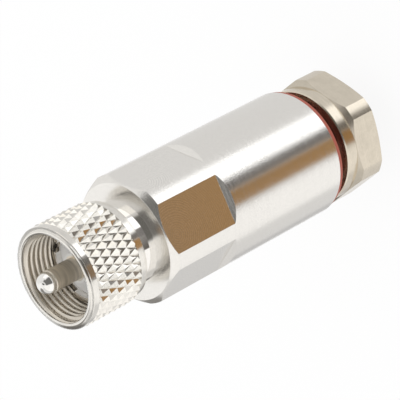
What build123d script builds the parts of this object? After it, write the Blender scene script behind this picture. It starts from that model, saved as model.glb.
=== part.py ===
from build123d import *
import math
import os

# A UHF cable plug for corrugated half inch coaxial cable, standing on its back nut.
# Z runs along the plug from the cable end, at z = 0, to the mating pin. One wrench flat of the body faces -Y.

# Back nut: hexagon, collar, and the screwed sleeve that holds the cable clamp
BACK_NUT_PROUD = 0.1          # radial, of the hexagon's turned corners over the body
BACK_NUT_FLAT_DEPTH = 1.0     # radial, from the turned corners down to the flats
BACK_NUT_TURN = -14.6         # degrees that the back nut's flats stand round from the body's
HEX_LENGTH = 6.1
HEX_FACE_INSET = 0.1          # radial, of the rear face's edge inside the flats
HEX_FRONT_CHAMFER = 0.6       # along the axis, at the corners
HEX_REAR_CHAMFER = 0.4
COLLAR_INSET = 0.05           # radial, inside the flats
COLLAR_LENGTH = 2.6
COLLAR_EDGE = 0.2
SLEEVE_WALL = 1.23            # of the screwed sleeve, out to its thread's pitch diameter
SCREW_LENGTH = 12.0
SCREW_CLEARANCE = 0.05        # radial, between the screwed sleeve and the body
SEAL_GAP = 2.35               # open gap between the collar and the seal as the plug is shipped
CABLE_LIP = 2.8               # along the axis, of the narrower hole behind the sleeve's chamber
CABLE_LIP_STEP = 0.35         # radial, from the chamber in to that hole
RELIEF_DEPTH = 0.63           # radial, of the groove where the thread runs out, next to the collar
RELIEF_LENGTH = 2.3

# Seal between the body and the back nut
SEAL_THICKNESS = 1.0
SEAL_INSET = 0.2              # radial, inside the body's outside
SEAL_CLEARANCE = 0.07         # radial, round the screwed sleeve
SEAL_EDGE = 0.15              # bevel of the outer edge towards the gap

# Main body
BODY_WALL = 2.17              # round the screwed bore
BODY_LENGTH = 42.5
FLAT_DEPTH = 0.9              # of the wrench flats, from the body's outside
FLATS_END = 15.1              # from the body's front face to the foot of the flats' end walls
FLAT_OVERCUT = 1.0            # how far the flats' cutters reach past the body
FRONT_CHAMFER = 1.1
NECK_INSET = 0.3375           # radial, of the neck inside the coupling thread
FLARE_GAP = 2.8               # from the clamp to the screwed bore's end, for the cable's outer conductor
FLARE_SHOULDER = 1.23         # radial, from the screwed bore in to the cone that the conductor is flared on
INSULATOR_STEP = 0.45         # radial, of the insulator's shoulder
INSULATOR_BORE_DEPTH = 37.95  # from the body's rear face to the insulator's shoulder

# Outer contact: the thin rim in front of the neck, with its index notches
RIM_HEIGHT = 10.45            # from the body's front face
RIM_STEP = 0.5                # radial, inside the neck
RIM_WALL = 0.95
RIM_LENGTH = 1.5
NOTCHES = 5
NOTCH_WIDTH = 2.0
NOTCH_DEPTH = 0.9
NOTCH_START = 50.0            # degrees round from +X to the first notch

# Coupling nut
NUT_GAP = 3.6                 # from the body's front face to the nut, pulled forward
NUT_WALL = 1.3625             # outside the thread
NUT_NOSE = 0.3                # rounding of the front rim, as two bevels
NUT_TAIL_LENGTH = 1.7         # behind the knurl
NUT_TAIL_TAPER = 0.35         # radial
NUT_BORE_CLEARANCE = 0.1      # radial, round the neck
NUT_STOP_CLEARANCE = 0.2      # left between the nut and the body when it is pushed back
THREAD_DIAMETER = 15.875
MOUTH_STEP = 0.1125           # radial, of the mouth outside the thread
MOUTH_CHAMFER = 0.2
KNURL_PROUD = 0.2             # radial, of its points over the plain front collar
KNURL_DEPTH = 0.52
KNURL_LENGTH = 9.8
KNURL_START = 1.45            # from the nut's front face
KNURL_AROUND = 39
KNURL_ROW = 1.875             # along the axis, between staggered rows of points
KNURL_PHASE = 0.08            # of a row, from the lowest row of the grooves' grid to the knurl's rear edge
KNURL_TURN = -0.3             # degrees round from +X to the first crossing

# Split ring that keeps the coupling nut on the body
RING_THICKNESS = 1.0
RING_WIDTH = 1.55
RING_GAP = 2.5
RING_PLAY = 0.05              # axial, each side, in the nut's groove
RING_CLEARANCE = 0.1          # radial, inside and outside
RING_SEAT_DEPTH = 0.9         # radial, of the body's waist that the ring slides along, inside the neck

# Centre contact
PIN_DIAMETER = 4.0
STEM_STEP = 0.3               # radial, of the thicker length inside the insulator
PIN_REACH = 1.1               # from the coupling nut's front face to the pin's face
PIN_CHAMFER = 0.1
BALL_INSET = 0.07             # radial, inside the pin
BALL_CENTRE = 0.4             # in front of the pin's face
CONTACT_FLANGE = 1.5
CONTACT_FLANGE_STEP = 1.1     # radial, outside the socket
SOCKET_BORE = 4.9
SOCKET_WALL = 0.95
SOCKET_LENGTH = 11.0
SOCKET_BORE_DEPTH = 9.5
SOCKET_SLOTS = 4
SOCKET_SLOT_WIDTH = 0.7
SOCKET_SLOT_LENGTH = 7.0

# Insulator
INSULATOR_FIT = 0.03          # radial, in the body and round the contact
INSULATOR_LENGTH = 19.8       # without the boss
FACE_DEPTH = 1.2              # from the rim down to the insulator's face
BOSS_WALL = 0.37              # round the stem
BOSS_HEIGHT = 2.6

# Cable clamp
COLLET_CLEARANCE = 0.38       # radial, of its head in the body's thread, that it goes in through
COLLET_TAIL_WALL = 1.35
COLLET_HEAD = 9.5
COLLET_TAIL = 4.9
COLLET_SLOTS = 6
COLLET_SLOT_WIDTH = 0.6
COLLET_SLOT_LENGTH = 6.0
CHAMBER_CLEARANCE = 0.1       # radial, round the parts inside the back nut's sleeve
GASKET_BORE = 15.1            # for the cable's jacket
GASKET_WALL = 0.8

# Diameters of the cable end, worked out from the gasket's bore outwards
CHAMBER_DIAMETER = GASKET_BORE + 2 * (GASKET_WALL + CHAMBER_CLEARANCE)
CABLE_HOLE_DIAMETER = CHAMBER_DIAMETER - 2 * CABLE_LIP_STEP
COLLET_BORE = CHAMBER_DIAMETER - 2 * (CHAMBER_CLEARANCE + COLLET_TAIL_WALL)
SCREW_DIAMETER = CHAMBER_DIAMETER + 2 * SLEEVE_WALL
RELIEF_DIAMETER = SCREW_DIAMETER - 2 * RELIEF_DEPTH
SCREW_BORE = SCREW_DIAMETER / 2 + SCREW_CLEARANCE
COLLET_DIAMETER = 2 * (SCREW_BORE - COLLET_CLEARANCE)
FLARE_MOUTH = 2 * (SCREW_BORE - FLARE_SHOULDER)
BODY_DIAMETER = 2 * (SCREW_BORE + BODY_WALL)
BODY_FLATS = BODY_DIAMETER - 2 * FLAT_DEPTH
SEAL_DIAMETER = BODY_DIAMETER - 2 * SEAL_INSET
BACK_NUT_CORNERS = BODY_DIAMETER + 2 * BACK_NUT_PROUD
BACK_NUT_FLATS = BACK_NUT_CORNERS - 2 * BACK_NUT_FLAT_DEPTH
HEX_FACE_DIAMETER = BACK_NUT_FLATS - 2 * HEX_FACE_INSET
COLLAR_DIAMETER = BACK_NUT_FLATS - 2 * COLLAR_INSET

# Diameters of the mating end, worked out from the thread and the pin
NUT_DIAMETER = THREAD_DIAMETER + 2 * NUT_WALL
NUT_TAIL_DIAMETER = NUT_DIAMETER - 2 * NUT_TAIL_TAPER
KNURL_DIAMETER = NUT_DIAMETER + 2 * KNURL_PROUD
MOUTH_DIAMETER = THREAD_DIAMETER + 2 * MOUTH_STEP
NECK_DIAMETER = THREAD_DIAMETER - 2 * NECK_INSET
RING_SEAT_DIAMETER = NECK_DIAMETER - 2 * RING_SEAT_DEPTH
RING_DIAMETER = RING_SEAT_DIAMETER + 2 * (RING_CLEARANCE + RING_WIDTH)
RIM_DIAMETER = NECK_DIAMETER - 2 * RIM_STEP
CONTACT_BORE = RIM_DIAMETER - 2 * RIM_WALL
INSULATOR_BORE = CONTACT_BORE + 2 * INSULATOR_STEP
STEM_DIAMETER = PIN_DIAMETER + 2 * STEM_STEP
BALL_DIAMETER = PIN_DIAMETER - 2 * BALL_INSET
BOSS_DIAMETER = STEM_DIAMETER + 2 * (INSULATOR_FIT + BOSS_WALL)
SOCKET_DIAMETER = SOCKET_BORE + 2 * SOCKET_WALL
CONTACT_FLANGE_DIAMETER = SOCKET_DIAMETER + 2 * CONTACT_FLANGE_STEP

# Heights above the cable end, worked out from the lengths above
Z_COLLAR = HEX_LENGTH
Z_COLLAR_FRONT = Z_COLLAR + COLLAR_LENGTH
Z_SEAL = Z_COLLAR_FRONT + SEAL_GAP
Z_BODY = Z_SEAL + SEAL_THICKNESS
Z_FACE = Z_BODY + BODY_LENGTH
Z_RIM = Z_FACE + RIM_HEIGHT
Z_NUT = Z_FACE + NUT_GAP
Z_KNURL = Z_NUT + NUT_TAIL_LENGTH
Z_KNURL_FRONT = Z_KNURL + KNURL_LENGTH
Z_NUT_FRONT = Z_KNURL_FRONT + KNURL_START
Z_PIN = Z_NUT_FRONT + PIN_REACH
Z_SCREW_END = Z_COLLAR_FRONT + SCREW_LENGTH
Z_RING_TOP = Z_RIM - RIM_LENGTH
Z_RING = Z_RING_TOP - RING_THICKNESS
NUT_TRAVEL = NUT_GAP - NUT_STOP_CLEARANCE
Z_WAIST = Z_RING - NUT_TRAVEL - NUT_STOP_CLEARANCE
Z_INSULATOR_SHOULDER = Z_BODY + INSULATOR_BORE_DEPTH
Z_INSULATOR_FACE = Z_RIM - FACE_DEPTH
Z_INSULATOR = Z_INSULATOR_FACE - INSULATOR_LENGTH
Z_BOSS = Z_INSULATOR_FACE + BOSS_HEIGHT
Z_CONTACT_FLANGE = Z_INSULATOR - CONTACT_FLANGE
Z_SOCKET = Z_CONTACT_FLANGE - SOCKET_LENGTH
Z_COLLET_FRONT = Z_SCREW_END + COLLET_HEAD
Z_COLLET_TAIL = Z_SCREW_END - COLLET_TAIL
Z_CLAMP_END = Z_COLLET_FRONT + FLARE_GAP


def turned(*points):
    """A solid turned about Z from a closed half section of (radius, height) points."""
    outline = Polyline(*[(radius, 0, height) for radius, height in points], close=True)
    return revolve(make_face(outline), Axis.Z)


def tube(outer, inner, bottom, top):
    """A plain ring between two heights, from its outer and inner radius."""
    return turned((inner, bottom), (outer, bottom), (outer, top), (inner, top))


def slots(count, width, reach, bottom, top, start=0.0):
    """Boxes that cut slots outward from the axis, evenly spaced, between two heights."""
    cutter = Pos(reach / 2, 0, (bottom + top) / 2) * Box(reach, width, top - bottom)
    return [Rot(0, 0, start + step * 360 / count) * cutter for step in range(count)]


def wrench_flats():
    """Six cutters that mill the body's flats, each with a sloping wall at its rear end."""
    inner = BODY_FLATS / 2
    outer = BODY_DIAMETER / 2 + FLAT_OVERCUT
    foot = Z_FACE - FLATS_END
    top = Z_FACE + FLAT_OVERCUT
    wall = foot - (outer - inner)
    outline = Polyline((inner, 0, foot), (outer, 0, wall), (outer, 0, top), (inner, 0, top), close=True)
    cutter = extrude(make_face(outline), amount=BODY_DIAMETER / 2, both=True)
    return [Rot(0, 0, -90 + 60 * side) * cutter for side in range(6)]


def main_body():
    """One turned piece: clamp end, wrench flats, neck, the split ring's waist and the notched rim."""
    outer = BODY_DIAMETER / 2
    rim = RIM_DIAMETER / 2
    body = turned(
        (SCREW_BORE, Z_BODY),
        (outer, Z_BODY),
        (outer, Z_FACE - FRONT_CHAMFER),
        (outer - FRONT_CHAMFER, Z_FACE),
        (NECK_DIAMETER / 2, Z_FACE),
        (NECK_DIAMETER / 2, Z_WAIST),
        (RING_SEAT_DIAMETER / 2, Z_WAIST),
        (RING_SEAT_DIAMETER / 2, Z_RING_TOP),
        (rim, Z_RING_TOP),
        (rim, Z_RIM),
        (CONTACT_BORE / 2, Z_RIM),
        (CONTACT_BORE / 2, Z_INSULATOR_SHOULDER),
        (INSULATOR_BORE / 2, Z_INSULATOR_SHOULDER),
        (INSULATOR_BORE / 2, Z_CLAMP_END + (FLARE_MOUTH - INSULATOR_BORE) / 2),
        (FLARE_MOUTH / 2, Z_CLAMP_END),
        (SCREW_BORE, Z_CLAMP_END),
    )
    notches = slots(NOTCHES, NOTCH_WIDTH, RIM_DIAMETER, Z_RIM - NOTCH_DEPTH, Z_RIM + NOTCH_DEPTH, NOTCH_START)
    return body - wrench_flats() - notches


def body_seal():
    """Silicone ring that sits on the body's rear face, round the back nut's sleeve."""
    outer = SEAL_DIAMETER / 2
    inner = SCREW_DIAMETER / 2 + SEAL_CLEARANCE
    return turned((inner, Z_SEAL), (outer - SEAL_EDGE, Z_SEAL), (outer, Z_SEAL + SEAL_EDGE), (outer, Z_BODY),
                  (inner, Z_BODY))


def knurl():
    """A rod of staggered four-sided points, as two families of grooves cut it.

    Grooves cross at a grid of low points, and each diamond between four crossings rises to one sharp point.
    """
    point = KNURL_DIAMETER / 2
    valley = point - KNURL_DEPTH
    rows = math.ceil(KNURL_LENGTH / KNURL_ROW) + 2
    bottom = Z_KNURL - KNURL_ROW * KNURL_PHASE

    def place(step, row):
        radius = point if (step + row) % 2 else valley
        angle = math.radians(KNURL_TURN + step * 180 / KNURL_AROUND)
        return Vector(radius * math.cos(angle), radius * math.sin(angle), bottom + row * KNURL_ROW)

    faces = []
    for row in range(rows + 1):
        for step in range(2 * KNURL_AROUND):
            if (step + row) % 2 == 0:
                continue
            tip, left, right = place(step, row), place(step - 1, row), place(step + 1, row)
            if row < rows:
                above = place(step, row + 1)
                faces += [Face(Wire.make_polygon([tip, above, left])), Face(Wire.make_polygon([tip, right, above]))]
            if row > 0:
                below = place(step, row - 1)
                faces += [Face(Wire.make_polygon([tip, left, below])), Face(Wire.make_polygon([tip, below, right]))]
    for row in (0, rows):
        faces.append(Face(Wire.make_polygon([place(step, row) for step in range(2 * KNURL_AROUND)])))
    rod = Solid(Shell(faces))
    return rod & Pos(0, 0, Z_KNURL + KNURL_LENGTH / 2) * Cylinder(KNURL_DIAMETER, KNURL_LENGTH)


def coupling_nut():
    """Knurled nut with a plain front collar, a tapered tail, and the split ring's groove inside."""
    outer = NUT_DIAMETER / 2
    bevel = NUT_NOSE * 0.4
    collar = turned(
        (0, Z_KNURL_FRONT),
        (outer, Z_KNURL_FRONT),
        (outer, Z_NUT_FRONT - NUT_NOSE),
        (outer - bevel, Z_NUT_FRONT - bevel),
        (outer - NUT_NOSE, Z_NUT_FRONT),
        (0, Z_NUT_FRONT),
    )
    tail = turned((0, Z_NUT), (NUT_TAIL_DIAMETER / 2, Z_NUT), (outer, Z_KNURL), (0, Z_KNURL))
    groove = RING_DIAMETER / 2 + RING_CLEARANCE
    neck_bore = NECK_DIAMETER / 2 + NUT_BORE_CLEARANCE
    thread = THREAD_DIAMETER / 2
    bore = turned(
        (0, Z_NUT - 1),
        (neck_bore, Z_NUT - 1),
        (neck_bore, Z_RING - RING_PLAY),
        (groove, Z_RING - RING_PLAY),
        (groove, Z_RING_TOP + RING_PLAY),
        (thread, Z_RING_TOP + RING_PLAY),
        (thread, Z_NUT_FRONT - MOUTH_CHAMFER),
        (MOUTH_DIAMETER / 2, Z_NUT_FRONT),
        (MOUTH_DIAMETER / 2, Z_NUT_FRONT + 1),
        (0, Z_NUT_FRONT + 1),
    )
    return knurl() + collar + tail - bore


def retaining_ring():
    """Split spring ring that carries the coupling nut along the body's waist."""
    inner = RING_SEAT_DIAMETER / 2 + RING_CLEARANCE
    ring = tube(RING_DIAMETER / 2, inner, Z_RING, Z_RING_TOP)
    return ring - slots(1, RING_GAP, RING_DIAMETER, Z_RING - 1, Z_RING_TOP + 1)


def centre_contact():
    """Pin with a ball tip, a flange that stops at the insulator, and a slotted socket for the cable."""
    pin = PIN_DIAMETER / 2
    stem = STEM_DIAMETER / 2
    socket = SOCKET_DIAMETER / 2
    contact = turned(
        (0, Z_SOCKET),
        (socket, Z_SOCKET),
        (socket, Z_CONTACT_FLANGE),
        (CONTACT_FLANGE_DIAMETER / 2, Z_CONTACT_FLANGE),
        (CONTACT_FLANGE_DIAMETER / 2, Z_INSULATOR),
        (stem, Z_INSULATOR),
        (stem, Z_BOSS),
        (pin, Z_BOSS),
        (pin, Z_PIN - PIN_CHAMFER),
        (pin - PIN_CHAMFER, Z_PIN),
        (0, Z_PIN),
    )
    ball = Pos(0, 0, Z_PIN + BALL_CENTRE) * Sphere(BALL_DIAMETER / 2)
    bore = Pos(0, 0, Z_SOCKET + SOCKET_BORE_DEPTH / 2) * Cylinder(SOCKET_BORE / 2, SOCKET_BORE_DEPTH)
    cuts = slots(SOCKET_SLOTS, SOCKET_SLOT_WIDTH, SOCKET_DIAMETER, Z_SOCKET - 1, Z_SOCKET + SOCKET_SLOT_LENGTH)
    return contact + ball - bore - cuts


def insulator():
    """White insulator in the outer contact, stepped to its shoulder, with a boss round the pin in front."""
    hole = STEM_DIAMETER / 2 + INSULATOR_FIT
    nose = CONTACT_BORE / 2 - INSULATOR_FIT
    outer = INSULATOR_BORE / 2 - INSULATOR_FIT
    return turned(
        (hole, Z_INSULATOR),
        (outer, Z_INSULATOR),
        (outer, Z_INSULATOR_SHOULDER),
        (nose, Z_INSULATOR_SHOULDER),
        (nose, Z_INSULATOR_FACE),
        (BOSS_DIAMETER / 2, Z_INSULATOR_FACE),
        (BOSS_DIAMETER / 2, Z_BOSS),
        (hole, Z_BOSS),
    )


def clamp_collet():
    """Slotted collet: fingers in front grip the cable, and the tail reaches into the back nut's sleeve."""
    bore = COLLET_BORE / 2
    head = COLLET_DIAMETER / 2
    tail = CHAMBER_DIAMETER / 2 - CHAMBER_CLEARANCE
    collet = turned(
        (bore, Z_COLLET_TAIL),
        (tail, Z_COLLET_TAIL),
        (tail, Z_SCREW_END),
        (head, Z_SCREW_END),
        (head, Z_COLLET_FRONT),
        (bore, Z_COLLET_FRONT),
    )
    slot_foot = Z_COLLET_FRONT - COLLET_SLOT_LENGTH
    return collet - slots(COLLET_SLOTS, COLLET_SLOT_WIDTH, COLLET_DIAMETER, slot_foot, Z_COLLET_FRONT + 1)


def cable_gasket():
    """Silicone sleeve round the cable's jacket, between the back nut's lip and the collet's tail."""
    return tube(CHAMBER_DIAMETER / 2 - CHAMBER_CLEARANCE, GASKET_BORE / 2, CABLE_LIP, Z_COLLET_TAIL)


def back_nut():
    """Hexagon with turned corners, a round collar, and the sleeve that screws into the body."""
    corner = BACK_NUT_CORNERS / 2
    collar = COLLAR_DIAMETER / 2
    sleeve = SCREW_DIAMETER / 2
    relief = RELIEF_DIAMETER / 2
    hexagon = turned(
        (0, 0),
        (HEX_FACE_DIAMETER / 2, 0),
        (corner, HEX_REAR_CHAMFER),
        (corner, Z_COLLAR - HEX_FRONT_CHAMFER),
        (collar, Z_COLLAR),
        (0, Z_COLLAR),
    )
    prism = extrude(RegularPolygon(BACK_NUT_FLATS / 2, 6, major_radius=False), amount=Z_COLLAR)
    front = turned(
        (0, Z_COLLAR),
        (collar, Z_COLLAR),
        (collar, Z_COLLAR_FRONT - COLLAR_EDGE),
        (collar - COLLAR_EDGE, Z_COLLAR_FRONT),
        (relief, Z_COLLAR_FRONT),
        (relief, Z_COLLAR_FRONT + RELIEF_LENGTH),
        (sleeve, Z_COLLAR_FRONT + RELIEF_LENGTH),
        (sleeve, Z_SCREW_END),
        (0, Z_SCREW_END),
    )
    bore = turned(
        (0, -1),
        (CABLE_HOLE_DIAMETER / 2, -1),
        (CABLE_HOLE_DIAMETER / 2, CABLE_LIP),
        (CHAMBER_DIAMETER / 2, CABLE_LIP),
        (CHAMBER_DIAMETER / 2, Z_SCREW_END + 1),
        (0, Z_SCREW_END + 1),
    )
    return (hexagon & Rot(0, 0, BACK_NUT_TURN) * prism) + front - bore


PIECES = {
    "main_body": main_body,
    "body_seal": body_seal,
    "coupling_nut": coupling_nut,
    "retaining_ring": retaining_ring,
    "centre_contact": centre_contact,
    "insulator": insulator,
    "clamp_collet": clamp_collet,
    "cable_gasket": cable_gasket,
    "back_nut": back_nut,
}

os.makedirs("parts", exist_ok=True)
for name, build in PIECES.items():
    export_step(build(), f"parts/{name}.step")
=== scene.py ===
"""Looks for the UHF cable plug: finishes for its solid pieces, the coupling nut's thread, and a plain studio."""

import math

import bmesh
import bpy
import numpy as np
from bpy.props import FloatProperty, FloatVectorProperty, IntProperty, PointerProperty
from mathutils import Matrix, Vector


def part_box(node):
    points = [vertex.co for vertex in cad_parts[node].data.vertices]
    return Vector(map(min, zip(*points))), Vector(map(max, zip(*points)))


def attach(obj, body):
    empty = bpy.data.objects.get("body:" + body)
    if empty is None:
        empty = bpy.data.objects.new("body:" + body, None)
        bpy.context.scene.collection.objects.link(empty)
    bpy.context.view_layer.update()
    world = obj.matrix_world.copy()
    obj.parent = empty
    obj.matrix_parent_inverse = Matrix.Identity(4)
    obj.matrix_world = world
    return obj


bl_info = {
    "name": "UHF Cable Plug",
    "version": (1, 0, 0),
    "blender": (4, 5, 0),
    "location": "3D Viewport > Sidebar > Cable Plug",
    "description": "Finishes, thread and studio for a clamp-type UHF cable plug",
    "category": "Add Mesh",
}

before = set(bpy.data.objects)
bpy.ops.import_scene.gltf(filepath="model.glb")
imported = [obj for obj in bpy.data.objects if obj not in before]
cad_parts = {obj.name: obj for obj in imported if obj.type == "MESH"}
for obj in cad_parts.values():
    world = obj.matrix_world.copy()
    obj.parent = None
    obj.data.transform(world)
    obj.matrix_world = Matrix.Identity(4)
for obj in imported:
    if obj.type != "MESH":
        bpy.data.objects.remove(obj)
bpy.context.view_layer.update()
MICRON = 0.000001

# Where a finish changes on the main body, in metres out from the axis or up along it
FACE_HEIGHT = 0.05455       # polished front face
FACE_EDGE = 0.01085         # just outside that face's edge
FLATS_LOW = 0.03949         # lower end of the wrench flats
FLAT_OUT = 0.011            # from the axis square to a wrench flat
NECK_RADIUS = 0.0076
NECK_LENGTH = 0.0046
NECK_TAPER = math.radians(8.5)

# The same on the coupling nut, the back nut and the contact
NUT_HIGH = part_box("coupling_nut")[1][2]
LIP_RADIUS = 0.0084         # middle of the coupling nut's front lip
LIP_ROUND = 0.0004          # how round that lip shines
LIP_DEPTH = 0.0002          # how far below the front edge the shine starts
BORE_RADIUS = 0.00798       # just outside the coupling nut's inner wall
# The wall of the back nut's groove under the seal, painted in shade: out to, from and up to
GROOVE_RADIUS, GROOVE_LOW, GROOVE_HIGH = 0.00915, 0.00868, 0.0112
# Where the front corners of the back nut's hexagon are painted in shade
COLLAR_RADIUS = 0.01093     # just inside the back nut's collar
HEX_OUT = 0.0110            # from the axis square to a flat of the back nut
HEX_CHAMFER_LOW, HEX_HIGH = 0.00546, 0.00614
HEX_TURN = math.radians(-44.6)
PIN_FACE = 0.0722           # front end of the pin, where its ball starts

# Roughness and shade of the finishes: one number, or the lowest and the highest
BARREL_ROUGH, BARREL_SHADE = (0.03, 0.36), (0.90, 1.07)
FLAT_ROUGH, ARC_SHADE, DUST_SHADE = 0.16, (0.95, 1.04), (0.88, 1.13)
FACE_ROUGH, NECK_ROUGH = 0.2, 0.05
NICKEL_SHADE, BLOTCH_SHADE = (0.94, 1.05), (0.88, 1.12)
NICKEL_ROUGH_SPREAD = (0.7, 1.3)
PIN_ROUGH, PIN_SHADE, BALL_ROUGH = (0.35, 0.5), (0.30, 1.45), 0.06
INSULATOR_ROUGH, INSULATOR_SHADE = (0.38, 0.5), (0.95, 1.03)
SILICONE_ROUGH, SILICONE_SHADE = (0.4, 0.55), (0.85, 1.12)
BALL_SILVER = (0.90, 0.89, 0.87)
# Painted shade in the back nut's groove, reddened as a painted reflection of the seal
GROOVE_PAINTED_SHADE = (0.20, 0.075, 0.060)
FLOOR_PAINT = (0.98, 0.98, 0.98, 1.0)
WHITE = (1.0, 1.0, 1.0, 1.0)


# The sizes and colours that a user would change

class PlugFinishes(bpy.types.PropertyGroup):
    """Colours of the plug's platings and plastics."""

    body_plating: FloatVectorProperty(
        name="Body plating", description="White bronze plating on the main body", subtype="COLOR", size=3,
        min=0, max=1, default=(0.87, 0.855, 0.83))
    nut_nickel: FloatVectorProperty(
        name="Coupling nut nickel", description="Bright nickel plating on the coupling nut", subtype="COLOR", size=3,
        min=0, max=1, default=(0.84, 0.82, 0.78))
    thread_nickel: FloatVectorProperty(
        name="Thread nickel", description="Plating inside the coupling nut, duller than outside", subtype="COLOR",
        size=3, min=0, max=1, default=(0.76, 0.71, 0.63))
    back_nut_nickel: FloatVectorProperty(
        name="Back nut nickel", description="Warmer nickel plating on the back nut", subtype="COLOR", size=3,
        min=0, max=1, default=(0.74, 0.675, 0.57))
    contact_plating: FloatVectorProperty(
        name="Contact plating", description="Dull plating on the centre contact", subtype="COLOR", size=3,
        min=0, max=1, default=(0.86, 0.80, 0.70))
    insulator_white: FloatVectorProperty(
        name="Insulator", description="White insulator round the pin", subtype="COLOR", size=3,
        min=0, max=1, default=(0.93, 0.92, 0.90))
    silicone_red: FloatVectorProperty(
        name="Silicone", description="Red silicone of the seal and the gasket", subtype="COLOR", size=3,
        min=0, max=1, default=(0.41, 0.10, 0.065))
    spring_steel: FloatVectorProperty(
        name="Spring steel", description="Steel of the split ring", subtype="COLOR", size=3,
        min=0, max=1, default=(0.55, 0.55, 0.56))


class PlugSizes(bpy.types.PropertyGroup):
    """Sizes of what the solid pieces leave out."""

    thread_diameter: FloatProperty(
        name="Thread diameter", description="Major diameter of the coupling nut's thread", unit="LENGTH",
        default=0.015875, min=0.005, max=0.05, precision=5)
    thread_pitch: FloatProperty(
        name="Thread pitch", description="From one turn of the thread to the next", unit="LENGTH",
        default=0.0254 / 24, min=0.0003, max=0.003, precision=5)
    thread_depth: FloatProperty(
        name="Thread depth", description="Height of the thread's ridge over the wall", unit="LENGTH",
        default=0.00057, min=0.0001, max=0.002, precision=5)
    thread_low: FloatProperty(
        name="Thread start", description="Height of the thread's inner end", unit="LENGTH",
        default=0.0637, min=0, max=0.1, precision=5)
    thread_high: FloatProperty(
        name="Thread end", description="Height of the thread's outer end", unit="LENGTH",
        default=0.07065, min=0, max=0.1, precision=5)
    turn_steps: IntProperty(
        name="Steps per turn", description="Mesh steps round each turn of the thread", default=144, min=24, max=360)
    barrel_lines: FloatProperty(
        name="Turning lines", description="Fine turning lines per metre of the body's length", default=3600,
        min=500, max=30000)
    arc_spacing: FloatProperty(
        name="Cutter arc spacing", description="Between the cutter's arcs on the wrench flats", unit="LENGTH",
        default=0.00042, min=0.0001, max=0.002, precision=5)


class PlugStudio(bpy.types.PropertyGroup):
    """The camera, the floor, the lamp, the world and the tent that stands round the plug."""

    camera_place: FloatVectorProperty(
        name="Camera place", description="Where the camera stands", subtype="XYZ", unit="LENGTH", size=3,
        default=(0.046118, -0.325147, 0.299694), precision=5)
    camera_back: FloatVectorProperty(
        name="Camera back", description="Direction that the camera looks away from", subtype="XYZ", size=3,
        default=(0.10865, -0.77183, 0.62650), precision=5)
    camera_up: FloatVectorProperty(
        name="Camera up", description="Direction of the picture's upper edge", subtype="XYZ", size=3,
        default=(0.91652, -0.16625, -0.36390), precision=5)
    camera_near: FloatProperty(
        name="Camera near", description="Nearest distance that the camera sees", unit="LENGTH", default=0.01,
        min=0.001, max=0.1)
    lens: FloatProperty(
        name="Lens", description="Focal length of the camera", subtype="DISTANCE_CAMERA", default=216.0,
        min=10, max=500)
    sensor: FloatProperty(
        name="Sensor", description="Width of the camera's sensor", subtype="DISTANCE_CAMERA", default=36.0,
        min=10, max=100)
    floor_size: FloatProperty(
        name="Floor size", description="Side of the square floor", unit="LENGTH", default=12.0, min=0.5, max=50)
    floor_drop: FloatProperty(
        name="Floor drop", description="How far the floor lies below the plug, so that the back nut clears it",
        unit="LENGTH", default=0.0085, min=0, max=0.1, precision=5)
    floor_glow: FloatProperty(
        name="Floor glow", description="Share of plain white that the camera sees in the floor", subtype="FACTOR",
        default=0.88, min=0, max=1)
    tent_radius: FloatProperty(
        name="Tent radius", description="Of the white tent round the plug, seen in the metal only", unit="LENGTH",
        default=2.0, min=0.5, max=10)
    key_power: FloatProperty(
        name="Key light", description="Power of the large soft lamp", unit="POWER", default=1.2, min=0, max=50)
    key_size: FloatProperty(
        name="Key size", description="Side of the square lamp", unit="LENGTH", default=0.8, min=0.1, max=5)
    key_place: FloatVectorProperty(
        name="Key place", description="Where the lamp stands", subtype="XYZ", unit="LENGTH", size=3,
        default=(0.5, -0.5, 0.9))
    world_light: FloatProperty(
        name="World light", description="Strength of the plain white world", subtype="FACTOR", default=0.95,
        min=0, max=2)


# Mesh and node helpers

def grid_mesh(name, points, closed_u=False, closed_v=False):
    """A quad mesh over a grid of points of shape (u, v, 3). Each quad joins a point to its next neighbours in u and v.

    A closed direction also joins its last points to its first.
    """
    rows, columns = points.shape[:2]
    index = np.arange(rows * columns).reshape(rows, columns)
    first = index if closed_u else index[:-1]
    first = first if closed_v else first[:, :-1]
    kept = np.s_[:first.shape[0], :first.shape[1]]
    next_u = np.roll(index, -1, 0)[kept]
    next_v = np.roll(index, -1, 1)[kept]
    both = np.roll(index, (-1, -1), (0, 1))[kept]
    quads = np.stack([first, next_u, both, next_v], -1).reshape(-1, 4)
    mesh = bpy.data.meshes.new(name)
    mesh.vertices.add(rows * columns)
    mesh.vertices.foreach_set("co", points.reshape(-1).astype(np.float32))
    mesh.loops.add(quads.size)
    mesh.loops.foreach_set("vertex_index", quads.reshape(-1).astype(np.int32))
    mesh.polygons.add(len(quads))
    mesh.polygons.foreach_set("loop_start", np.arange(0, quads.size, 4, dtype=np.int32))
    mesh.polygons.foreach_set("use_smooth", np.ones(len(quads), bool))
    mesh.update(calc_edges=True)
    mesh.validate()
    return mesh


def put(name, mesh, material):
    """Adds a mesh to the scene as an object at the origin, with one material."""
    thing = bpy.data.objects.new(name, mesh)
    bpy.context.scene.collection.objects.link(thing)
    mesh.materials.append(material)
    return thing


def dress(node, material):
    """Gives a CAD piece a material in all of its slots."""
    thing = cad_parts[node]
    thing.data.materials.clear()
    thing.data.materials.append(material)


def feed(tree, socket, value):
    """Links a socket into an input, or sets the input's value."""
    if isinstance(value, bpy.types.NodeSocket):
        tree.links.new(value, socket)
    else:
        socket.default_value = value


def add(tree, kind, **settings):
    """A new node. Settings that name an input feed it, and the others set the node's own options.

    An input is named by its name, with lines for spaces, or by i and its number.
    """
    made = tree.nodes.new(kind)
    for key, value in settings.items():
        if hasattr(made, key):
            setattr(made, key, value)
        elif key[0] == "i" and key[1:].isdigit():
            feed(tree, made.inputs[int(key[1:])], value)
        else:
            feed(tree, made.inputs[key.replace("_", " ")], value)
    return made


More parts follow.
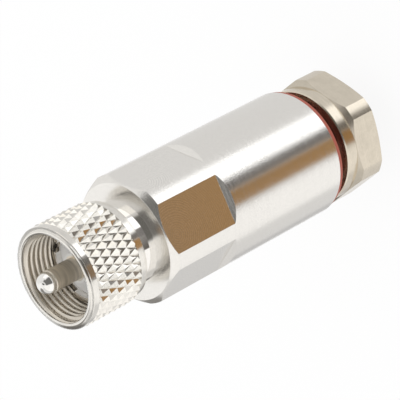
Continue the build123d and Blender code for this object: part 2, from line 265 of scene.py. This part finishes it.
def calc(tree, operation, *values):
    """Output of a Math node. Each value is a number or a socket."""
    inputs = {f"i{place}": value for place, value in enumerate(values)}
    return add(tree, "ShaderNodeMath", operation=operation, **inputs).outputs[0]


def product(tree, first, *others):
    """Product of numbers and sockets."""
    for other in others:
        first = calc(tree, "MULTIPLY", first, other)
    return first


def rest_of(tree, share):
    """What a share leaves of 1."""
    return calc(tree, "SUBTRACT", 1.0, share)


def step(tree, value, edge, width):
    """0 below an edge and 1 above it, changing smoothly over a width."""
    return add(tree, "ShaderNodeMapRange", interpolation_type="SMOOTHSTEP", i0=value, i1=edge - width / 2,
               i2=edge + width / 2, i3=0.0, i4=1.0).outputs[0]


def below(tree, value, edge, width):
    """1 below an edge and 0 above it, changing smoothly over a width."""
    return rest_of(tree, step(tree, value, edge, width))


def mix_values(tree, share, low, high):
    """A number between low and high, by a share from 0 to 1."""
    return add(tree, "ShaderNodeMapRange", i0=share, i1=0.0, i2=1.0, i3=low, i4=high).outputs[0]


def mix_colours(tree, share, low, high):
    """A colour between low and high, by a share from 0 to 1."""
    return add(tree, "ShaderNodeMix", data_type="VECTOR", i0=share, i4=low, i5=high).outputs[1]


def scaled(tree, colour, shade):
    """A colour times a number."""
    return add(tree, "ShaderNodeVectorMath", operation="SCALE", i0=colour, Scale=shade).outputs[0]


def new_group(name, takes, gives):
    """An empty shader node group with named sockets, and its input and output nodes."""
    group = bpy.data.node_groups.new(name, "ShaderNodeTree")
    kinds = {"value": "NodeSocketFloat", "vector": "NodeSocketVector"}
    for socket, kind, default in takes:
        made = group.interface.new_socket(socket, in_out="INPUT", socket_type=kinds[kind])
        if default is not None:
            made.default_value = default
    for socket in gives:
        group.interface.new_socket(socket, in_out="OUTPUT", socket_type=kinds["value"])
    return group, group.nodes.new("NodeGroupInput"), group.nodes.new("NodeGroupOutput")


def use_group(tree, group, **inputs):
    """Places a node group in a material, with its inputs set or linked by name."""
    made = tree.nodes.new("ShaderNodeGroup")
    made.node_tree = group
    for key, value in inputs.items():
        feed(tree, made.inputs[key.replace("_", " ")], value)
    return made


def new_material(name):
    """A node material with its Principled BSDF and a source of Object coordinates."""
    material = bpy.data.materials.new(name)
    material.use_nodes = True
    tree = material.node_tree
    shader = next(n for n in tree.nodes if n.type == "BSDF_PRINCIPLED")
    place = tree.nodes.new("ShaderNodeTexCoord").outputs["Object"]
    return material, tree, shader, place


def stage_material(name):
    """A node material with nothing but its output."""
    material = bpy.data.materials.new(name)
    material.use_nodes = True
    material.node_tree.nodes.clear()
    return material, material.node_tree, material.node_tree.nodes.new("ShaderNodeOutputMaterial").inputs["Surface"]


def coat(tree, shader, tint, rough, relief, strength=1.0, distance=1.0, metallic=1.0):
    """Feeds a material's colour, roughness and relief into its shader. A relief times its distance is in metres."""
    bump = add(tree, "ShaderNodeBump", Strength=strength, Distance=distance, Height=relief)
    tree.links.new(tint, shader.inputs["Base Color"])
    tree.links.new(rough, shader.inputs["Roughness"])
    tree.links.new(bump.outputs[0], shader.inputs["Normal"])
    shader.inputs["Metallic"].default_value = metallic


# Effects that several finishes share

def turned_grain():
    """Fine rings that a lathe tool leaves round the plug's axis, and a finer speckle over them.

    The rings are noise that changes fast along the axis and slowly around it. The speckle is plain fine noise. The
    height is the rings and a share of the speckle.
    """
    name, slowly, speckle_share = "Turned grain", 90.0, 0.4
    if name in bpy.data.node_groups:
        return bpy.data.node_groups[name]
    group, takes, gives = new_group(
        name, [("Place", "vector", None), ("Lines", "value", 9000.0), ("Speckle", "value", 4000.0)],
        ["Rings", "Speckle", "Height"])
    split = add(group, "ShaderNodeSeparateXYZ", Vector=takes.outputs["Place"])
    along = product(group, split.outputs["Z"], takes.outputs["Lines"])
    around_x, around_y = (product(group, split.outputs[axis], slowly) for axis in "XY")
    stretched = add(group, "ShaderNodeCombineXYZ", X=around_x, Y=around_y, Z=along).outputs[0]
    rings = add(group, "ShaderNodeTexNoise", Vector=stretched, Scale=1.0, Detail=2.0, Roughness=0.6).outputs["Fac"]
    speckle = add(group, "ShaderNodeTexNoise", Vector=takes.outputs["Place"], Scale=takes.outputs["Speckle"],
                  Detail=2.0, Roughness=0.7).outputs["Fac"]
    group.links.new(rings, gives.inputs["Rings"])
    group.links.new(speckle, gives.inputs["Speckle"])
    group.links.new(calc(group, "MULTIPLY_ADD", speckle, speckle_share, rings), gives.inputs["Height"])
    return group


def hexagon_places():
    """Folds a place round the axis into one sixth of a hexagon.

    Out is the distance from the axis square to the nearest flat, Across is the distance along it, and Radius is the
    distance from the axis. Turn is the angle of one flat's middle, in radians.
    """
    name, half_side = "Hexagon places", math.pi / 6
    if name in bpy.data.node_groups:
        return bpy.data.node_groups[name]
    group, takes, gives = new_group(name, [("Place", "vector", None), ("Turn", "value", -math.pi / 2)],
                                    ["Across", "Out", "Radius", "Height"])
    split = add(group, "ShaderNodeSeparateXYZ", Vector=takes.outputs["Place"])
    x, y = split.outputs["X"], split.outputs["Y"]
    angle = calc(group, "SUBTRACT", calc(group, "ARCTAN2", y, x), takes.outputs["Turn"])
    folded = calc(group, "WRAP", angle, half_side, -half_side)
    radius = calc(group, "SQRT", calc(group, "MULTIPLY_ADD", x, x, product(group, y, y)))
    group.links.new(product(group, radius, calc(group, "SINE", folded)), gives.inputs["Across"])
    group.links.new(product(group, radius, calc(group, "COSINE", folded)), gives.inputs["Out"])
    group.links.new(radius, gives.inputs["Radius"])
    group.links.new(split.outputs["Z"], gives.inputs["Height"])
    return group


def cutter_arcs():
    """Arcs that a round cutter leaves on a flat: a sine of the distance from a centre, bent a little by noise."""
    name, bend = "Cutter arcs", 1.6
    if name in bpy.data.node_groups:
        return bpy.data.node_groups[name]
    group, takes, gives = new_group(
        name, [("Across", "value", 0.0), ("Height", "value", 0.0), ("Centre across", "value", 0.0),
               ("Centre height", "value", 0.05), ("Spacing", "value", 0.0004)], ["Arcs"])
    side = calc(group, "SUBTRACT", takes.outputs["Across"], takes.outputs["Centre across"])
    rise = calc(group, "SUBTRACT", takes.outputs["Height"], takes.outputs["Centre height"])
    reach = calc(group, "SQRT", calc(group, "MULTIPLY_ADD", side, side, product(group, rise, rise)))
    where = add(group, "ShaderNodeCombineXYZ", X=side, Y=rise, Z=0.0).outputs[0]
    drift = add(group, "ShaderNodeTexNoise", Vector=where, Scale=450.0, Detail=3.0).outputs["Fac"]
    turns = calc(group, "DIVIDE", reach, takes.outputs["Spacing"])
    turns = calc(group, "MULTIPLY_ADD", drift, bend, turns)
    waves = calc(group, "SINE", product(group, turns, 2 * math.pi))
    group.links.new(calc(group, "MULTIPLY_ADD", waves, 0.5, 0.5), gives.inputs["Arcs"])
    return group


# Finishes

def body_finish(colour, lines, spacing):
    """Satin turned plating on the barrel, cutter arcs on the wrench flats, and a polished neck and front face.

    The neck's bump falls towards the nut, so its mirror faces up a little, as a neck with a slight taper does.
    """
    material, tree, shader, place = new_material("body_plating")
    hexagon = use_group(tree, hexagon_places(), Place=place)
    height, radius = hexagon.outputs["Height"], hexagon.outputs["Radius"]
    grain = use_group(tree, turned_grain(), Place=place, Lines=lines, Speckle=3400.0)
    rings, speckle = grain.outputs["Rings"], grain.outputs["Speckle"]
    arcs = use_group(tree, cutter_arcs(), Across=hexagon.outputs["Across"], Height=height, Centre_across=-0.0015,
                     Centre_height=0.0520, Spacing=spacing).outputs["Arcs"]

    off_flat = calc(tree, "ABSOLUTE", calc(tree, "SUBTRACT", hexagon.outputs["Out"], FLAT_OUT))
    milled = product(tree, below(tree, off_flat, 10 * MICRON, 6 * MICRON),
                     step(tree, radius, FACE_EDGE, 100 * MICRON), step(tree, height, FLATS_LOW, 40 * MICRON))
    front = step(tree, height, FACE_HEIGHT - 30 * MICRON, 40 * MICRON)
    neck = product(tree, front, below(tree, radius, NECK_RADIUS + 30 * MICRON, 20 * MICRON))

    rough = mix_values(tree, rings, *BARREL_ROUGH)
    for share, smooth in ((milled, FLAT_ROUGH), (front, FACE_ROUGH), (neck, NECK_ROUGH)):
        rough = mix_values(tree, share, rough, smooth)
    dusty = product(tree, mix_values(tree, arcs, *ARC_SHADE), mix_values(tree, speckle, *DUST_SHADE))
    shade = mix_values(tree, milled, mix_values(tree, speckle, *BARREL_SHADE), dusty)

    turned = calc(tree, "MULTIPLY_ADD", speckle, 13 * MICRON, product(tree, rings, 4 * MICRON))
    relief = product(tree, mix_values(tree, milled, turned, product(tree, arcs, 1.2 * MICRON)), rest_of(tree, front))
    up_neck = calc(tree, "MAXIMUM", calc(tree, "SUBTRACT", height, FACE_HEIGHT), 0.0)
    taper = product(tree, calc(tree, "MINIMUM", up_neck, NECK_LENGTH), -math.tan(NECK_TAPER))
    coat(tree, shader, scaled(tree, colour, shade), rough, calc(tree, "ADD", relief, taper))
    return material


def nickel_finish(name, colour, roughness, lines, relief, lip=False, bore=None, groove=0.0, corners=0.0):
    """Bright nickel over turned metal, a little duller and darker in blotches. Relief is in hundredths of a millimetre.

    A lip shines round at the coupling nut's front edge: its bump falls with the square of the distance from the lip's
    middle. Bore is the roughness of the wall inside the coupling nut. Groove is how much painted shade darkens the
    groove next to the seal, reddened as a painted reflection of the seal. Corners is how much painted shade darkens
    the turned corners on the front of the back nut's hexagon.
    """
    material, tree, shader, place = new_material(name)
    grain = use_group(tree, turned_grain(), Place=place, Lines=lines, Speckle=2600.0)
    hexagon = use_group(tree, hexagon_places(), Place=place, Turn=HEX_TURN)
    height, radius = hexagon.outputs["Height"], hexagon.outputs["Radius"]
    blotches = add(tree, "ShaderNodeTexNoise", Vector=place, Scale=520.0, Detail=3.0, Roughness=0.6).outputs["Fac"]

    rough = mix_values(tree, grain.outputs["Speckle"], *(roughness * spread for spread in NICKEL_ROUGH_SPREAD))
    shade = product(tree, mix_values(tree, grain.outputs["Rings"], *NICKEL_SHADE),
                    mix_values(tree, blotches, *BLOTCH_SHADE))
    bumps = product(tree, grain.outputs["Height"], relief * 10 * MICRON)
    if bore is not None:
        rough = mix_values(tree, step(tree, radius, BORE_RADIUS, 40 * MICRON), bore, rough)
    # Painted shade darkens the turned corners on the front of the back nut's hexagon
    if corners:
        painted_corner_shade = product(tree, step(tree, height, HEX_CHAMFER_LOW, 60 * MICRON),
                         below(tree, height, HEX_HIGH, 40 * MICRON), step(tree, radius, COLLAR_RADIUS, 20 * MICRON),
                         below(tree, hexagon.outputs["Out"], HEX_OUT - 10 * MICRON, 8 * MICRON))
        shade = product(tree, shade, rest_of(tree, product(tree, painted_corner_shade, corners)))
    tint = scaled(tree, colour, shade)
    # Painted shade darkens the groove's wall, reddened as a painted reflection of the seal
    if groove:
        groove_shade_mask = product(tree, below(tree, radius, GROOVE_RADIUS, 40 * MICRON),
                           step(tree, height, GROOVE_LOW, 40 * MICRON), below(tree, height, GROOVE_HIGH, 40 * MICRON))
        tint = mix_colours(tree, product(tree, groove_shade_mask, groove), tint, GROOVE_PAINTED_SHADE)
    if lip:
        off_lip = calc(tree, "SUBTRACT", radius, LIP_RADIUS)
        at_lip = step(tree, height, NUT_HIGH - LIP_DEPTH, 20 * MICRON)
        bumps = calc(tree, "MULTIPLY_ADD", product(tree, off_lip, off_lip, -0.5 / LIP_ROUND), at_lip, bumps)
    coat(tree, shader, tint, rough, bumps)
    return material


def contact_finish(colour):
    """Dull plating with coarse turning rings on the pin, and a polished silver ball in front."""
    material, tree, shader, place = new_material("contact_plating")
    split = add(tree, "ShaderNodeSeparateXYZ", Vector=place)
    grain = use_group(tree, turned_grain(), Place=place, Lines=1150.0, Speckle=4000.0)
    rings, speckle = grain.outputs["Rings"], grain.outputs["Speckle"]
    ball = step(tree, split.outputs["Z"], PIN_FACE + 20 * MICRON, 20 * MICRON)
    tint = mix_colours(tree, ball, scaled(tree, colour, mix_values(tree, rings, *PIN_SHADE)), BALL_SILVER)
    rough = mix_values(tree, ball, mix_values(tree, speckle, *PIN_ROUGH), BALL_ROUGH)
    coat(tree, shader, tint, rough, product(tree, rings, rest_of(tree, ball)), strength=0.6, distance=60 * MICRON)
    return material


def insulator_finish(colour):
    """White fluoroplastic with faint turning rings and a waxy sheen."""
    material, tree, shader, place = new_material("white_insulator")
    grain = use_group(tree, turned_grain(), Place=place, Lines=5000.0, Speckle=1500.0)
    rings = grain.outputs["Rings"]
    tint = scaled(tree, colour, mix_values(tree, grain.outputs["Speckle"], *INSULATOR_SHADE))
    coat(tree, shader, tint, mix_values(tree, rings, *INSULATOR_ROUGH), rings, strength=0.15, distance=10 * MICRON,
         metallic=0.0)
    shader.inputs["Subsurface Weight"].default_value = 0.15
    shader.inputs["Subsurface Radius"].default_value = (600 * MICRON,) * 3
    return material


def silicone_finish(colour):
    """Red silicone with a soft moulded skin."""
    material, tree, shader, place = new_material("red_silicone")
    speckle = use_group(tree, turned_grain(), Place=place, Speckle=2500.0).outputs["Speckle"]
    tint = scaled(tree, colour, mix_values(tree, speckle, *SILICONE_SHADE))
    coat(tree, shader, tint, mix_values(tree, speckle, *SILICONE_ROUGH), speckle, strength=0.2, distance=20 * MICRON,
         metallic=0.0)
    return material


# Shapes

def thread_points(radius, depth, pitch, low, high, steps):
    """The coupling nut's inner thread, as one ridge that winds up the bore.

    A point goes round the axis by an angle and up by the pitch for each turn. Its section is a ridge with sides at
    60 degrees to each other, a flat crest a quarter of the pitch wide with eased edges, and a foot sunk a little into
    the wall. The ridge sinks into the wall over the last third of a turn at each end.
    """
    turns = (high - low) / pitch
    angle = np.linspace(0, 2 * np.pi * turns, int(steps * turns) + 1)[:, None]
    crest, eased, sunk = pitch / 8, 0.93 * depth, 40 * MICRON
    foot = crest + depth * math.tan(math.radians(30))
    across = np.array([-foot, -crest, -crest / 2, crest / 2, crest, foot, foot, -foot])
    inward = np.array([0, eased, depth, depth, eased, 0, -sunk, -sunk])
    rise = np.clip(np.minimum(angle, angle[-1] - angle) / (2 * np.pi / 3), 0, 1)
    reach = radius - np.where(inward > 0, inward * rise, inward)
    height = low + pitch * angle / (2 * np.pi) + across
    return np.stack([reach * np.cos(angle), reach * np.sin(angle), height], -1)


def capped_tube(name, points):
    """A closed mesh from rings of points: the rings joined in order, with each end ring closed by one face."""
    mesh = grid_mesh(name, points, closed_v=True)
    count = points.shape[1]
    last = (points.shape[0] - 1) * count
    made = bmesh.new()
    made.from_mesh(mesh)
    made.verts.ensure_lookup_table()
    made.faces.new([made.verts[i] for i in range(count)])
    made.faces.new([made.verts[last + i] for i in reversed(range(count))])
    bmesh.ops.recalc_face_normals(made, faces=made.faces)
    made.to_mesh(mesh)
    made.free()
    return mesh


def floor_points(size, drop):
    """A square on the level below the plug, from its four corners."""
    half = size / 2
    return np.array([[[-half, -half, -drop], [-half, half, -drop]], [[half, -half, -drop], [half, half, -drop]]])


def tent_points(radius, steps):
    """A sphere round the plug: a half circle that stops just short of both poles, carried round the axis."""
    turn = np.linspace(0, 2 * np.pi, 2 * steps, endpoint=False)[:, None]
    almost_up = 0.4999 * np.pi
    rise = np.linspace(-almost_up, almost_up, steps)[None, :]
    out = radius * np.cos(rise)
    return np.stack([out * np.cos(turn), out * np.sin(turn), radius * np.sin(rise) + 0 * turn], -1)


# Studio

# The white tent round the plug has cards and lamps on its inside, which the metal reflects. Each is: where its middle
# stands, half its width, its lowest and highest edge, how soft its edges are, all in degrees round the axis from +X
# and above the horizon, and its colour. A later one covers an earlier one.
TENT_STEPS = 90
TENT_WHITE = (0.76, 0.75, 0.735)
TENT_CARDS = {
    "top lamp": (0, 400, 66, 100, 14, (0.95, 0.94, 0.92)),
    "dark ceiling": (-40, 60, 72, 100, 6, (0.12, 0.115, 0.105)),
    "rear wall": (98, 50, 12, 70, 14, (1.02, 1.01, 0.99)),
    "back sweep": (98, 20, -95, 12, 16, (1.06, 1.06, 1.06)),
    "grey gap": (129, 11, -95, -18, 14, (0.56, 0.555, 0.55)),
    "dark doorway": (127, 15, -20, 50, 12, (0.26, 0.25, 0.235)),
    "cream card": (-150, 27, -95, 6, 12, (1.04, 1.025, 1.0)),
    "left softbox": (-148, 38, -14, 72, 7, (1.05, 1.03, 1.00)),
    "right softbox": (28, 48, -10, 50, 8, (0.86, 0.85, 0.83)),
    "camera gap": (-73, 34, -9, 46, 9, (0.17, 0.165, 0.155)),
    "upper gap": (-66, 46, 40, 62, 10, (0.17, 0.165, 0.155)),
    "left lamp": (-152, 32, -27, 24, 6, (1.14, 1.12, 1.09)),
    "dark table": (-95, 27, -35, -18, 3, (0.13, 0.115, 0.10)),
    "wooden board": (-103, 14, -75, -34, 6, (0.38, 0.22, 0.09)),
    "dark edge": (-80, 8, -78, -18, 4, (0.17, 0.16, 0.15)),
    "low softbox": (-51, 16, -66, -12, 4, (1.42, 1.42, 1.42)),
    "strip lamp": (-13, 16, -25, 27, 5, (1.22, 1.19, 1.13)),
    "ledge": (-72, 48, -17, -8, 3, (1.28, 1.27, 1.24)),
}


def tent_material():
    """Glowing cloth, painted with the cards by the angle round the axis and above the horizon."""
    material, tree, surface = stage_material("tent_cloth")
    place = tree.nodes.new("ShaderNodeTexCoord").outputs["Object"]
    split = add(tree, "ShaderNodeSeparateXYZ", Vector=place)
    around = calc(tree, "DEGREES", calc(tree, "ARCTAN2", split.outputs["Y"], split.outputs["X"]))
    reach = add(tree, "ShaderNodeVectorMath", operation="LENGTH", i0=place).outputs["Value"]
    above = calc(tree, "DEGREES", calc(tree, "ARCSINE", calc(tree, "DIVIDE", split.outputs["Z"], reach)))
    colour = add(tree, "ShaderNodeCombineXYZ", **dict(zip("XYZ", TENT_WHITE))).outputs[0]
    for middle, half, low, high, soft, paint in TENT_CARDS.values():
        aside = calc(tree, "WRAP", calc(tree, "SUBTRACT", around, float(middle)), 180.0, -180.0)
        inside = product(tree, below(tree, calc(tree, "ABSOLUTE", aside), half, soft), step(tree, above, low, soft),
                         below(tree, above, high, soft))
        colour = mix_colours(tree, inside, colour, paint)
    tree.links.new(add(tree, "ShaderNodeEmission", Color=colour, Strength=1.0).outputs[0], surface)
    return material


def floor_material(glow_share):
    """White floor. The camera sees part of it as plain white, and the rest takes the plug's shadow."""
    material, tree, surface = stage_material("floor_white")
    rays = tree.nodes.new("ShaderNodeLightPath")
    seen = calc(tree, "MAXIMUM", rays.outputs["Is Camera Ray"], rays.outputs["Is Glossy Ray"])
    seen = calc(tree, "MAXIMUM", seen, rays.outputs["Is Transmission Ray"])
    paint = add(tree, "ShaderNodeBsdfDiffuse", Color=FLOOR_PAINT)
    glow = add(tree, "ShaderNodeEmission", Color=WHITE, Strength=1.0)
    blend = add(tree, "ShaderNodeMixShader", i0=product(tree, seen, glow_share), i1=paint.outputs[0],
                i2=glow.outputs[0])
    tree.links.new(blend.outputs[0], surface)
    return material


def light_studio(studio, scene):
    """A plain white world and one large soft lamp that faces the origin."""
    world = bpy.data.worlds.new("studio")
    world.use_nodes = True
    background = world.node_tree.nodes["Background"]
    background.inputs["Color"].default_value = WHITE
    background.inputs["Strength"].default_value = studio.world_light
    scene.world = world

    lamp = bpy.data.lights.new("key", "AREA")
    lamp.shape = "SQUARE"
    lamp.size = studio.key_size
    lamp.energy = studio.key_power
    key = bpy.data.objects.new("key", lamp)
    scene.collection.objects.link(key)
    key.location = studio.key_place
    key.rotation_euler = Vector(key.location).to_track_quat("Z", "Y").to_euler()
    key.visible_glossy = False


def place_camera(studio, scene):
    """The camera, turned so that its back and its upper edge point as the studio says."""
    back = Vector(studio.camera_back).normalized()
    right = Vector(studio.camera_up).cross(back).normalized()
    up = back.cross(right)
    camera = bpy.data.objects.new("camera", bpy.data.cameras.new("camera"))
    scene.collection.objects.link(camera)
    camera.data.lens = studio.lens
    camera.data.sensor_width = studio.sensor
    camera.data.clip_start = studio.camera_near
    camera.matrix_world = Matrix((right, up, back)).transposed().to_4x4()
    camera.location = studio.camera_place
    scene.camera = camera


# Operators

class PLUG_OT_body(bpy.types.Operator):
    """Finish the main body and the clamp collet"""

    bl_idname = "plug.body"
    bl_label = "Main Body"

    def execute(self, context):
        finishes, sizes = context.scene.plug_finishes, context.scene.plug_sizes
        dress("main_body", body_finish(finishes.body_plating, sizes.barrel_lines, sizes.arc_spacing))
        dress("clamp_collet", nickel_finish(
            "collet_plating", finishes.body_plating, roughness=0.3, lines=6000.0, relief=0.3))
        return {"FINISHED"}


class PLUG_OT_coupling_nut(bpy.types.Operator):
    """Finish the knurled coupling nut and its split ring"""

    bl_idname = "plug.coupling_nut"
    bl_label = "Coupling Nut"

    def execute(self, context):
        finishes = context.scene.plug_finishes
        dress("coupling_nut", nickel_finish(
            "bright_nickel", finishes.nut_nickel, roughness=0.14, lines=5000.0, relief=0.15, lip=True, bore=0.45))
        dress("retaining_ring", nickel_finish(
            "spring_steel", finishes.spring_steel, roughness=0.3, lines=5000.0, relief=0.2))
        return {"FINISHED"}


class PLUG_OT_thread(bpy.types.Operator):
    """Cut the coupling nut's inner thread"""

    bl_idname = "plug.thread"
    bl_label = "Coupling Thread"

    def execute(self, context):
        sizes, finishes = context.scene.plug_sizes, context.scene.plug_finishes
        points = thread_points(sizes.thread_diameter / 2, sizes.thread_depth, sizes.thread_pitch, sizes.thread_low,
                               sizes.thread_high, sizes.turn_steps)
        material = nickel_finish(
            "thread_nickel", finishes.thread_nickel, roughness=0.32, lines=5000.0, relief=0.2)
        thread = put("coupling_thread", capped_tube("coupling_thread", points), material)
        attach(thread, "coupling")
        return {"FINISHED"}


class PLUG_OT_contact(bpy.types.Operator):
    """Finish the centre contact"""

    bl_idname = "plug.contact"
    bl_label = "Centre Contact"

    def execute(self, context):
        dress("centre_contact", contact_finish(context.scene.plug_finishes.contact_plating))
        return {"FINISHED"}


class PLUG_OT_insulator(bpy.types.Operator):
    """Finish the white insulator"""

    bl_idname = "plug.insulator"
    bl_label = "Insulator"

    def execute(self, context):
        dress("insulator", insulator_finish(context.scene.plug_finishes.insulator_white))
        return {"FINISHED"}


class PLUG_OT_silicone(bpy.types.Operator):
    """Finish the silicone seal and the cable gasket"""

    bl_idname = "plug.silicone"
    bl_label = "Seal and Gasket"

    def execute(self, context):
        rubber = silicone_finish(context.scene.plug_finishes.silicone_red)
        dress("body_seal", rubber)
        dress("cable_gasket", rubber)
        return {"FINISHED"}


class PLUG_OT_back_nut(bpy.types.Operator):
    """Finish the back nut"""

    bl_idname = "plug.back_nut"
    bl_label = "Back Nut"

    def execute(self, context):
        nickel = context.scene.plug_finishes.back_nut_nickel
        # The back nut's groove gets painted shade with a painted red reflection of the seal, and its hexagon's front
        # corners get painted shade
        dress("back_nut", nickel_finish(
            "warm_nickel", nickel, roughness=0.2, lines=3500.0, relief=0.2, groove=0.85, corners=0.18))
        return {"FINISHED"}


class PLUG_OT_stage(bpy.types.Operator):
    """Set up the floor, the tent, the lamp, the world and the camera"""

    bl_idname = "plug.stage"
    bl_label = "Stage"

    def execute(self, context):
        studio, scene = context.scene.plug_studio, context.scene
        floor = put("floor", grid_mesh("floor", floor_points(studio.floor_size, studio.floor_drop)),
                    floor_material(studio.floor_glow))
        floor.visible_glossy = False
        tent = put("tent", grid_mesh("tent", tent_points(studio.tent_radius, TENT_STEPS), closed_u=True),
                   tent_material())
        tent.visible_camera = False
        tent.visible_diffuse = False
        tent.visible_shadow = False
        tent.visible_transmission = False
        light_studio(studio, scene)
        place_camera(studio, scene)
        scene.view_settings.view_transform = "Standard"
        return {"FINISHED"}


class PLUG_PT_sidebar(bpy.types.Panel):
    """Sidebar panel with the plug's pieces and settings"""

    bl_idname = "PLUG_PT_sidebar"
    bl_label = "Cable Plug"
    bl_space_type = "VIEW_3D"
    bl_region_type = "UI"
    bl_category = "Cable Plug"

    def draw(self, context):
        layout = self.layout
        for operator in PIECES:
            layout.operator(operator.bl_idname)
        for group in (context.scene.plug_finishes, context.scene.plug_sizes, context.scene.plug_studio):
            box = layout.box()
            for key in group.__annotations__:
                box.prop(group, key)


PIECES = (PLUG_OT_body, PLUG_OT_coupling_nut, PLUG_OT_thread, PLUG_OT_contact, PLUG_OT_insulator, PLUG_OT_silicone,
          PLUG_OT_back_nut, PLUG_OT_stage)
CLASSES = (PlugFinishes, PlugSizes, PlugStudio) + PIECES + (PLUG_PT_sidebar,)


def register():
    for made in CLASSES:
        bpy.utils.register_class(made)
    bpy.types.Scene.plug_finishes = PointerProperty(type=PlugFinishes)
    bpy.types.Scene.plug_sizes = PointerProperty(type=PlugSizes)
    bpy.types.Scene.plug_studio = PointerProperty(type=PlugStudio)


def unregister():
    del bpy.types.Scene.plug_studio
    del bpy.types.Scene.plug_sizes
    del bpy.types.Scene.plug_finishes
    for made in reversed(CLASSES):
        bpy.utils.unregister_class(made)


def main():
    """Builds every piece and the stage."""
    register()
    bpy.ops.plug.stage()
    bpy.ops.plug.body()
    bpy.ops.plug.coupling_nut()
    bpy.ops.plug.thread()
    bpy.ops.plug.contact()
    bpy.ops.plug.insulator()
    bpy.ops.plug.silicone()
    bpy.ops.plug.back_nut()


if __name__ == "__main__":
    main()
